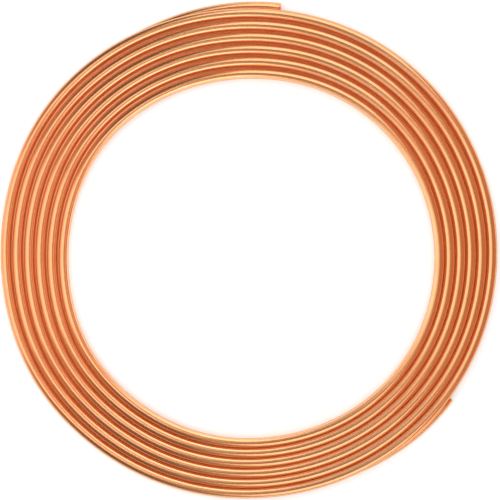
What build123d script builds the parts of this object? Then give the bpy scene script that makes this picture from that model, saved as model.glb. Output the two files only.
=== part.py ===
"""Copper tube coil: a double-layer pancake coil of soft copper tube, lying flat.

Units are millimetres and +Z is up. The origin is on the coil's axis, at the floor that it lies on.
Bearings are clockwise from +Y, seen from above.

The coil is one turned solid. The turns of its upper layer lie in the grooves between the turns of
its lower layer, and the eye is its bore. One more turn, at the height of the lower layer, is open: it
is tucked under the outermost turn and springs outwards to the coil's two square-cut ends, where the
bore of the tube shows.
"""
from build123d import *
import math
import os

# Tube: soft copper, 3/8 inch outside diameter
TUBE_OD = 9.52
TUBE_WALL = 0.81
END_BORE_DEPTH = 60.0

# Winding: outside diameter over the upper layer, turns in that layer and the gap between them
COIL_OD = 486.0
UPPER_TURNS = 6
TURN_GAP = 1.4

# How far nested turns press into each other, which makes the coil one solid
NEST_SINK = 0.25

# Open turn: bearings of its two ends about its own centre, how far its middle is tucked in under the
# outermost turn, and how far its ends spring outwards from there
END_A_BEARING = 7.3
END_B_BEARING = 126.0
OPEN_TUCK = 3.0
END_SPRING = 8.5

# Places of the turns
tube_radius = TUBE_OD / 2
pitch = TUBE_OD + TURN_GAP
outer_turn_radius = COIL_OD / 2 - tube_radius
layer_rise = math.sqrt((TUBE_OD - NEST_SINK) ** 2 - (pitch / 2) ** 2)
lower_z = tube_radius
upper_z = lower_z + layer_rise

# Open turn: a circle of its own, tucked in at its middle and standing out by END_SPRING at its ends
open_span = 360 + END_A_BEARING - END_B_BEARING
middle_angle = math.radians(END_B_BEARING + open_span / 2)
open_offset = END_SPRING / (1 - math.cos(math.radians(open_span / 2)))
open_radius = outer_turn_radius - OPEN_TUCK + open_offset
open_centre = Pos(-open_offset * math.sin(middle_angle), -open_offset * math.cos(middle_angle))


def section(turn_radius, height, radius):
    """Round section of one turn, upright, beside the axis that it is turned about."""
    return Plane.XZ * Pos(turn_radius, height) * Circle(radius)


def closed_turns():
    """The closed turns: the upper layer, and the lower layer under the gaps between its turns."""
    upper = [section(outer_turn_radius - k * pitch, upper_z, tube_radius) for k in range(UPPER_TURNS)]
    gaps = [outer_turn_radius - (k + 0.5) * pitch for k in range(UPPER_TURNS - 1)]
    lower = [section(gap, lower_z, tube_radius) for gap in gaps]
    return revolve(Sketch() + upper + lower, Axis.Z)


def open_turn(radius, last_bearing, sweep):
    """A stretch of the open turn, of a given section, that ends clockwise at a bearing."""
    stretch = revolve(section(open_radius, lower_z, radius), Axis.Z, revolution_arc=sweep)
    return open_centre * Rot(0, 0, 90 - last_bearing) * stretch


def end_bores():
    """The tube's bore, as deep as it is modelled, at both ends of the open turn."""
    bore_radius = tube_radius - TUBE_WALL
    sweep = math.degrees(END_BORE_DEPTH / open_radius)
    return [open_turn(bore_radius, END_A_BEARING, sweep), open_turn(bore_radius, END_B_BEARING + sweep, sweep)]


coil = closed_turns() + open_turn(tube_radius, END_A_BEARING, open_span) - end_bores()

os.makedirs("parts", exist_ok=True)
export_step(coil, "parts/copper_tube_coil.step")
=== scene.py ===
"""Copper tube coil: two nested layers of bright drawn tube, seen from above in a plain white studio.

Sizes of the winding are in millimetres, as in the solid model, and become metres in the mesh.
Bearings are degrees clockwise from +Y, seen from above. A lane is a place across the coil: lane 0 is
the outermost turn of the upper layer, lane 1 the next turn inwards, and a half lane lies in the
groove between two turns, where a turn of the lower layer runs. The tube's two ends, A and B, lie at
the height of the lower layer and come out from under the outermost turn.
"""
import math
import bpy
import numpy as np
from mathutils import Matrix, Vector

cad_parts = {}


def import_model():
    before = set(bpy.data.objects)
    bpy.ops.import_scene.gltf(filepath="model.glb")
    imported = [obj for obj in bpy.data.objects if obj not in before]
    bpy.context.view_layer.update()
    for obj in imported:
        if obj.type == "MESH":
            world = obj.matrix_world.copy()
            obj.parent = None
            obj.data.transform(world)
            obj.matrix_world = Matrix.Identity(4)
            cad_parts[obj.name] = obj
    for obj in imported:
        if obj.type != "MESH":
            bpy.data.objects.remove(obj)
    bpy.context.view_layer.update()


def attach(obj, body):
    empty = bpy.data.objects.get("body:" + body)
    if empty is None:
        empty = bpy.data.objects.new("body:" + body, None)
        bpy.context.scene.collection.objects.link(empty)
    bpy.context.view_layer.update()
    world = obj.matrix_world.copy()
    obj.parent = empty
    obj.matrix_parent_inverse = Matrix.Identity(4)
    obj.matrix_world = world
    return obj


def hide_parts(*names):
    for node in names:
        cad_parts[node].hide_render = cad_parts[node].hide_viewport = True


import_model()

MM = 0.001
FULL_TURN = 360.0
UNIT = (0.0, 1.0)
WHITE = (1.0, 1.0, 1.0)

# Tube, as in the solid model, and how much its ends are deburred
TUBE_OD = 9.52
TUBE_WALL = 0.81
DEBURR = 0.18
TUBE_RADIUS = TUBE_OD / 2

# Winding: radius of lane 0, and the pitch of the lanes, which swings from loose to tight
LANE_0_RADIUS = 239.55
PITCH = 10.93
PITCH_SWING = 1.13
LOOSE_BEARING = 335.0
UPPER_TURNS = 6

# Where the hand-wound turns bulge out or are pulled in: bearing, height and spread in degrees
UNEVEN = [(240.0, 2.2, 13.0), (304.0, 2.4, 16.0), (0.0, -3.65, 22.0), (170.0, -2.65, 20.0)]

# The two ends: bearing and lane of each cut, and of the place where it has run in under the upper layer
END_B = (126.0, -0.54)
END_B_TUCKED = (190.0, 0.5)
END_A_TUCKED = (296.0, 0.5)
END_A = (367.3, -0.66)

# How much thinner an end gets as it runs into the lower layer, out of sight, and between which lanes
SWALLOWED = 0.5
SWALLOW_FROM = 0.2
SWALLOW_TO = 0.5

# Mesh: degrees from ring to ring, sides round the tube outside and inside, rings that smooth the height
RING_STEP = 2.0
OUTER_SIDES = 40
BORE_SIDES = 20
SMOOTH_RINGS = 5

# Drawing lines: how often they vary along a metre of tube and round it, how far they are shifted from
# lane to lane, the roughness between them and the bump, in metres
LINES_ALONG = 3.0
LINES_ROUND = 60.0
LINE_DETAIL = 3.0
LINE_SHIFT = 360.0
ROUGHNESS = (0.18, 0.28)
BUMP_STRENGTH = 0.06
BUMP_DEPTH = 0.0002

# Colour of the copper: cloudy tarnish, by the noise that it follows, and the tint at a grazing angle
CLOUD_SCALE = 28.0
CLOUD_DETAIL = 4.0
CLOUD_COLOURS = [(0.3, (0.91, 0.47, 0.24)), (0.7, (0.95, 0.52, 0.28))]
GRAZING_TINT = (0.28, 0.17, 0.10)

# Painted light in the grooves: how near another turn has to be, the openness over which the copper goes
# from the painted groove light to plain copper, its metallic value from groove to open copper, and the
# red-orange colour painted in the grooves
# The groove colour and metallic value stand in for light bounced between the turns; they are painted
# light, not tarnish
GROOVE_REACH = 6.0
GROOVE_OPENNESS = (0.1, 0.42)
PAINTED_GROOVE_METALLIC = (0.12, 0.93)
PAINTED_GROOVE_LIGHT_COLOUR = (0.98, 0.32, 0.06)

# Floor: half its side in metres, its colour and its roughness
FLOOR_HALF = 3.0
FLOOR_COLOUR = (0.9, 0.9, 0.9)
FLOOR_ROUGHNESS = 0.9

# Room: tints of its walls by bearing, from -180 to 180 degrees, its ceiling and its even fill, and
# where the walls begin above the white horizon and end at the ceiling, as heights on a unit sphere
WARM = (0.52, 0.22, 0.09)
TAN = (0.46, 0.30, 0.15)
RED = (0.54, 0.17, 0.035)
DIM = (0.08, 0.02, 0.006)
WALLS = [(-180.0, TAN), (-160.0, DIM), (-138.0, DIM), (-122.0, WARM), (-60.0, WARM), (-46.0, DIM),
         (-16.0, DIM), (0.0, TAN), (50.0, RED), (130.0, RED), (160.0, TAN), (180.0, TAN)]
CEILING = (0.20, 0.125, 0.06)
FILL = (1.08, 1.08, 1.08)
WALLS_BEGIN = (0.01, 0.05)
WALLS_END = (0.92, 0.98)

# Lamps: name, place, the point that each one faces, width and length in metres, and brightness
LAMPS = [
    ("north", (0.20, 0.60, 0.46), (0.07, 0.20, 0.0), 0.60, 0.70, 1.15),
    ("south", (0.27, -0.67, 0.56), (0.09, -0.19, 0.0), 0.60, 0.65, 1.15),
    ("west", (-0.42, 0.0, 0.55), (-0.20, 0.0, 0.0), 0.50, 0.68, 0.97),
    ("west_low", (-0.78, 0.0, 0.25), (-0.20, 0.0, 0.25), 0.70, 0.38, 0.5),
    ("overhead_east", (0.145, 0.0, 0.30), (0.15, 0.0, 0.0), 0.30, 0.14, 0.5),
    ("eye_east", (-0.08, 0.0, 0.085), (1.0, 0.0, 0.085), 0.20, 0.13, 0.6),
    ("eye_north", (0.01, -0.08, 0.135), (0.01, 1.0, 0.135), 0.22, 0.18, 0.7),
    ("eye_south", (-0.01, 0.08, 0.135), (-0.01, -1.0, 0.135), 0.14, 0.18, 0.65),
    ("overhead_southwest", (-0.109, -0.130, 0.30), (-0.113, -0.134, 0.0), 0.15, 0.17, 0.56),
    ("overhead_northwest", (-0.109, 0.130, 0.30), (-0.113, 0.134, 0.0), 0.15, 0.17, 0.36),
]

# Camera: the photograph shows the coil square on, with its axis at this pixel. The scale in
# millimetres a pixel holds at the height of the upper layer
PHOTO_SIZE = 500
AXIS_PIXEL = (249.2, 252.5)
MM_PER_PIXEL = 0.985
SCALE_HEIGHT = 1.3 * TUBE_OD
CAMERA_HEIGHT = 1500.0


def ease(t):
    """Smooth step from 0 to 1."""
    t = np.clip(t, 0.0, 1.0)
    return t * t * (3 - 2 * t)


def pitch_at(bearing):
    """Pitch of the lanes at a bearing."""
    return PITCH + PITCH_SWING * np.cos(np.radians(bearing - LOOSE_BEARING))


def lane_radius(bearing, lane):
    """Radius of a lane at a bearing."""
    radius = np.full(np.shape(bearing), LANE_0_RADIUS)
    for middle, height, spread in UNEVEN:
        away = (bearing - middle + FULL_TURN / 2) % FULL_TURN - FULL_TURN / 2
        radius = radius + height * np.exp(-0.5 * (away / spread) ** 2)
    return radius - lane * pitch_at(bearing)


def end_lane(bearing):
    """Lane of the two ends, from end B in under the upper layer and out again to end A."""
    lane = np.full(np.shape(bearing), END_B[1])
    for before, after in ((END_B, END_B_TUCKED), (END_A_TUCKED, END_A)):
        lane = lane + (after[1] - before[1]) * ease((bearing - before[0]) / (after[0] - before[0]))
    return lane


def upper_height(bearing, lane):
    """Height of an upper turn: nested in the lower layer, and lifted where an end passes under it."""
    rise = np.sqrt(TUBE_OD ** 2 - (pitch_at(bearing) / 2) ** 2)
    for turn_bearing in (bearing, bearing + FULL_TURN):
        here = (turn_bearing >= END_B[0]) & (turn_bearing <= END_A[0])
        gap = (end_lane(turn_bearing) - lane) * pitch_at(turn_bearing)
        support = np.sqrt(np.clip(TUBE_OD ** 2 - gap ** 2, 0.0, None))
        rise = np.where(here, np.maximum(rise, support), rise)
    wrapped = np.concatenate([rise[-SMOOTH_RINGS:], rise, rise[:SMOOTH_RINGS]])
    window = np.ones(2 * SMOOTH_RINGS + 1) / (2 * SMOOTH_RINGS + 1)
    return TUBE_RADIUS + np.convolve(wrapped, window, mode="valid")


def path(bearing, radius, height):
    """Points at bearings and radii, at heights or at one height."""
    angle = np.radians(bearing)
    height = np.broadcast_to(height, np.shape(bearing))
    return np.column_stack([radius * np.sin(angle), radius * np.cos(angle), height])


def run_along(points):
    """Length of the path up to each point."""
    return np.concatenate([[0.0], np.cumsum(np.linalg.norm(np.diff(points, axis=0), axis=1))])


class Shell:
    """Vertices, faces and UVs of the tubes, gathered into one mesh."""

    def __init__(self):
        self.vertices = []
        self.faces = []
        self.uvs = []

    def rings(self, points, along, radii, sides):
        """Adds a ring of vertices round each point and returns the number of the first one."""
        outwards = np.cross(along, [0.0, 0.0, 1.0])
        outwards /= np.linalg.norm(outwards, axis=1)[:, None]
        upwards = np.cross(outwards, along)
        turn = np.linspace(0, 2 * math.pi, sides, endpoint=False)[None, :, None]
        spokes = np.cos(turn) * outwards[:, None, :] + np.sin(turn) * upwards[:, None, :]
        ring = points[:, None, :] + radii.reshape(-1, 1, 1) * spokes
        first = len(self.vertices)
        self.vertices += (ring.reshape(-1, 3) * MM).tolist()
        return first

    def skin(self, first, run, sides, closed=False, inside=False):
        """Joins rings that follow each other with quads, facing outwards or into the bore."""
        count = len(run) - 1 if closed else len(run)
        for ring in range(len(run) - 1):
            here = first + ring * sides
            there = first + (ring + 1) % count * sides
            u = (run[ring] * MM, run[ring + 1] * MM)
            for side in range(sides):
                after = (side + 1) % sides
                v = (side / sides, (side + 1) / sides)
                quad = [here + side, there + side, there + after, here + after]
                corners = [(u[0], v[0]), (u[1], v[0]), (u[1], v[1]), (u[0], v[1])]
                self.faces.append(quad[::-1] if inside else quad)
                self.uvs += corners[::-1] if inside else corners

    def end_face(self, outer, bore, run, flip=False):
        """Joins the last outer ring to the bore with a flat annulus."""
        share = OUTER_SIDES // BORE_SIDES
        for side in range(BORE_SIDES):
            rim = [outer + (side * share + step) % OUTER_SIDES for step in range(share + 1)]
            face = rim + [bore + (side + 1) % BORE_SIDES, bore + side]
            self.faces.append(face[::-1] if flip else face)
            self.uvs += [(run * MM, side / BORE_SIDES)] * len(face)

    def mesh(self, name):
        """The gathered mesh, shaded smooth."""
        mesh = bpy.data.meshes.new(name)
        mesh.from_pydata(self.vertices, [], self.faces)
        layer = mesh.uv_layers.new(name="UVMap")
        layer.data.foreach_set("uv", np.array(self.uvs, np.float32).ravel())
        mesh.polygons.foreach_set("use_smooth", [True] * len(mesh.polygons))
        mesh.update()
        return mesh


def closed_turn(shell, bearing, lane, height):
    """A turn that closes on itself."""
    points = path(bearing, lane_radius(bearing, lane), height)
    along = np.roll(points, -1, axis=0) - np.roll(points, 1, axis=0)
    along /= np.linalg.norm(along, axis=1)[:, None]
    first = shell.rings(points, along, np.full(len(points), TUBE_RADIUS), OUTER_SIDES)
    run = run_along(np.concatenate([points, points[:1]])) + lane * LINE_SHIFT
    shell.skin(first, run, OUTER_SIDES, closed=True)


def tube_end(shell, first_bearing, last_bearing):
    """A hollow end of the tube, square cut and deburred, as far as it runs into the lower layer."""
    steps = round(abs(last_bearing - first_bearing) / RING_STEP)
    bearing = np.linspace(first_bearing, last_bearing, steps + 1)
    lane = end_lane(bearing)
    points = path(bearing, lane_radius(bearing, lane), TUBE_RADIUS)
    along = np.gradient(points, axis=0)
    along /= np.linalg.norm(along, axis=1)[:, None]
    radii = TUBE_RADIUS - SWALLOWED * ease((lane - SWALLOW_FROM) / (SWALLOW_TO - SWALLOW_FROM))

    # One more ring, a little smaller, makes the deburred rim
    points = np.concatenate([points[:1] - DEBURR * along[:1], points])
    along = np.concatenate([along[:1], along])
    outer_radii = np.concatenate([radii[:1] - DEBURR, radii])
    bore_radii = np.concatenate([radii[:1], radii]) - TUBE_WALL

    run = run_along(points)
    last = len(points) - 1
    outer = shell.rings(points, along, outer_radii, OUTER_SIDES)
    bore = shell.rings(points, along, bore_radii, BORE_SIDES)
    shell.skin(outer, run, OUTER_SIDES)
    shell.skin(bore, run, BORE_SIDES, inside=True)
    shell.end_face(outer, bore, run[0])
    shell.end_face(outer + last * OUTER_SIDES, bore + last * BORE_SIDES, run[-1], flip=True)


def coil_mesh(name):
    """The whole coil: upper layer, lower layer under its gaps, and the two ends."""
    shell = Shell()
    bearing = np.arange(0.0, FULL_TURN, RING_STEP)
    for lane in range(UPPER_TURNS):
        closed_turn(shell, bearing, lane, upper_height(bearing, lane))
    for lane in range(UPPER_TURNS - 1):
        closed_turn(shell, bearing, lane + 0.5, TUBE_RADIUS)
    tube_end(shell, END_B[0], END_B_TUCKED[0])
    tube_end(shell, END_A[0], END_A_TUCKED[0])
    return shell.mesh(name)


def map_range(tree, value, from_range=UNIT, to_range=UNIT):
    """A value carried over from one range to another, and held at its ends."""
    node = tree.nodes.new("ShaderNodeMapRange")
    for name, limits in (("From", from_range), ("To", to_range)):
        node.inputs[name + " Min"].default_value = limits[0]
        node.inputs[name + " Max"].default_value = limits[1]
    tree.links.new(value, node.inputs["Value"])
    return node.outputs["Result"]


def ramp(tree, value, stops):
    """A colour that follows a value through stops, each a position and a colour."""
    node = tree.nodes.new("ShaderNodeValToRGB")
    elements = node.color_ramp.elements
    while len(elements) < len(stops):
        elements.new(1.0)
    for element, (position, colour) in zip(elements, stops):
        element.position = position
        element.color = colour + (1.0,)
    tree.links.new(value, node.inputs["Fac"])
    return node.outputs["Color"]


def mix(tree, factor, first, second):
    """A colour from the first to the second, where each is a fixed colour or comes from a node."""
    node = tree.nodes.new("ShaderNodeMix")
    node.data_type = "RGBA"
    tree.links.new(factor, node.inputs["Factor"])
    for name, colour in (("A", first), ("B", second)):
        if isinstance(colour, tuple):
            node.inputs[name].default_value = colour + (1.0,)
        else:
            tree.links.new(colour, node.inputs[name])
    return node.outputs["Result"]


def math_node(tree, operation, first, second):
    """The result of an operation on two values."""
    node = tree.nodes.new("ShaderNodeMath")
    node.operation = operation
    tree.links.new(first, node.inputs[0])
    tree.links.new(second, node.inputs[1])
    return node.outputs["Value"]


def noise(tree, coordinates, scale, detail):
    """Noise of a scale and detail over some coordinates."""
    node = tree.nodes.new("ShaderNodeTexNoise")
    node.inputs["Scale"].default_value = scale
    node.inputs["Detail"].default_value = detail
    tree.links.new(coordinates, node.inputs["Vector"])
    return node.outputs["Fac"]


def copper_material():
    """Bright drawn copper: long drawing lines, faint cloudy tarnish, and painted light in the grooves.
    """
    material = bpy.data.materials.new("bright_drawn_copper")
    material.use_nodes = True
    tree = material.node_tree
    shader = tree.nodes["Principled BSDF"]
    shader.inputs["Specular Tint"].default_value = GRAZING_TINT + (1.0,)
    coordinates = tree.nodes.new("ShaderNodeTexCoord")

    # Drawing lines run along the tube, in its roughness and its bump
    stretch = tree.nodes.new("ShaderNodeMapping")
    stretch.inputs["Scale"].default_value = (LINES_ALONG, LINES_ROUND, 1.0)
    tree.links.new(coordinates.outputs["UV"], stretch.inputs["Vector"])
    lines = noise(tree, stretch.outputs["Vector"], 1.0, LINE_DETAIL)
    tree.links.new(map_range(tree, lines, to_range=ROUGHNESS), shader.inputs["Roughness"])
    bump = tree.nodes.new("ShaderNodeBump")
    bump.inputs["Strength"].default_value = BUMP_STRENGTH
    bump.inputs["Distance"].default_value = BUMP_DEPTH
    tree.links.new(lines, bump.inputs["Height"])
    tree.links.new(bump.outputs["Normal"], shader.inputs["Normal"])

    # Cloudy tarnish varies over a few centimetres
    cloud = noise(tree, coordinates.outputs["Object"], CLOUD_SCALE, CLOUD_DETAIL)
    tarnish = ramp(tree, cloud, CLOUD_COLOURS)

    # Painted light: where another turn is near, the copper is made diffuse and red-orange, so the
    # grooves between the turns read lighter, as if lit by light bounced between them
    groove = tree.nodes.new("ShaderNodeAmbientOcclusion")
    groove.inputs["Distance"].default_value = GROOVE_REACH * MM
    open_mask = map_range(tree, groove.outputs["AO"], from_range=GROOVE_OPENNESS)
    tree.links.new(map_range(tree, open_mask, to_range=PAINTED_GROOVE_METALLIC), shader.inputs["Metallic"])
    tree.links.new(mix(tree, open_mask, PAINTED_GROOVE_LIGHT_COLOUR, tarnish), shader.inputs["Base Color"])
    return material


def floor():
    """A pale floor that keeps the coil's shadow."""
    half = FLOOR_HALF
    mesh = bpy.data.meshes.new("floor")
    corners = [(-half, -half, 0), (half, -half, 0), (half, half, 0), (-half, half, 0)]
    mesh.from_pydata(corners, [], [(0, 1, 2, 3)])
    plane = bpy.data.objects.new("floor", mesh)
    bpy.context.scene.collection.objects.link(plane)
    material = bpy.data.materials.new("pale_floor")
    material.use_nodes = True
    shader = material.node_tree.nodes["Principled BSDF"]
    shader.inputs["Base Color"].default_value = FLOOR_COLOUR + (1.0,)
    shader.inputs["Roughness"].default_value = FLOOR_ROUGHNESS
    shader.inputs["Specular IOR Level"].default_value = 0.0
    mesh.materials.append(material)


def seen_directly(tree):
    """A value of 1 for rays from the camera, and for mirror and transmission rays."""
    light_path = tree.nodes.new("ShaderNodeLightPath")
    seen = light_path.outputs["Is Camera Ray"]
    for ray in ("Is Glossy Ray", "Is Transmission Ray"):
        seen = math_node(tree, "MAXIMUM", seen, light_path.outputs[ray])
    return seen


def world():
    """A white horizon, warm walls and a ceiling where they are seen, and a soft even fill elsewhere."""
    studio = bpy.data.worlds.new("studio")
    bpy.context.scene.world = studio
    studio.use_nodes = True
    tree = studio.node_tree
    coordinates = tree.nodes.new("ShaderNodeTexCoord")
    towards = tree.nodes.new("ShaderNodeSeparateXYZ")
    tree.links.new(coordinates.outputs["Generated"], towards.inputs["Vector"])

    # Walls, tinted by bearing
    bearing = math_node(tree, "ARCTAN2", towards.outputs["X"], towards.outputs["Y"])
    round_room = map_range(tree, bearing, from_range=(-math.pi, math.pi))
    walls = ramp(tree, round_room, [(0.5 + degrees / FULL_TURN, tint) for degrees, tint in WALLS])

    # Plain ceiling above them, and the white horizon below
    overhead = map_range(tree, towards.outputs["Z"], from_range=WALLS_END)
    under_ceiling = mix(tree, overhead, walls, CEILING)
    above = map_range(tree, towards.outputs["Z"], from_range=WALLS_BEGIN)
    room = mix(tree, above, WHITE, under_ceiling)

    light = mix(tree, seen_directly(tree), FILL, room)
    tree.links.new(light, tree.nodes["Background"].inputs["Color"])


def softbox(name, place, target, width, length, radiance):
    """A rectangular soft light of a given brightness that faces a point."""
    lamp = bpy.data.lights.new(name, "AREA")
    lamp.shape = "RECTANGLE"
    lamp.size = width
    lamp.size_y = length
    lamp.energy = radiance * math.pi * width * length
    light = bpy.data.objects.new(name, lamp)
    bpy.context.scene.collection.objects.link(light)
    light.location = place
    light.rotation_euler = (Vector(target) - Vector(place)).to_track_quat("-Z", "Y").to_euler()
    light.visible_camera = False


def camera():
    """Square on from above, with the picture's top towards +Y."""
    lens = bpy.data.cameras.new("camera")
    view = bpy.data.objects.new("camera", lens)
    bpy.context.scene.collection.objects.link(view)
    centre = PHOTO_SIZE / 2
    x = (centre - AXIS_PIXEL[0]) * MM_PER_PIXEL
    y = (AXIS_PIXEL[1] - centre) * MM_PER_PIXEL
    view.location = (x * MM, y * MM, CAMERA_HEIGHT * MM)
    lens.angle = 2 * math.atan(centre * MM_PER_PIXEL / (CAMERA_HEIGHT - SCALE_HEIGHT))
    bpy.context.scene.camera = view


tube = bpy.data.objects.new("copper_tube", coil_mesh("copper_tube"))
bpy.context.scene.collection.objects.link(tube)
tube.data.materials.append(copper_material())
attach(tube, "root")
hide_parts("copper_tube_coil")

floor()
world()
for lamp_values in LAMPS:
    softbox(*lamp_values)
camera()
bpy.context.scene.view_settings.view_transform = "Standard"
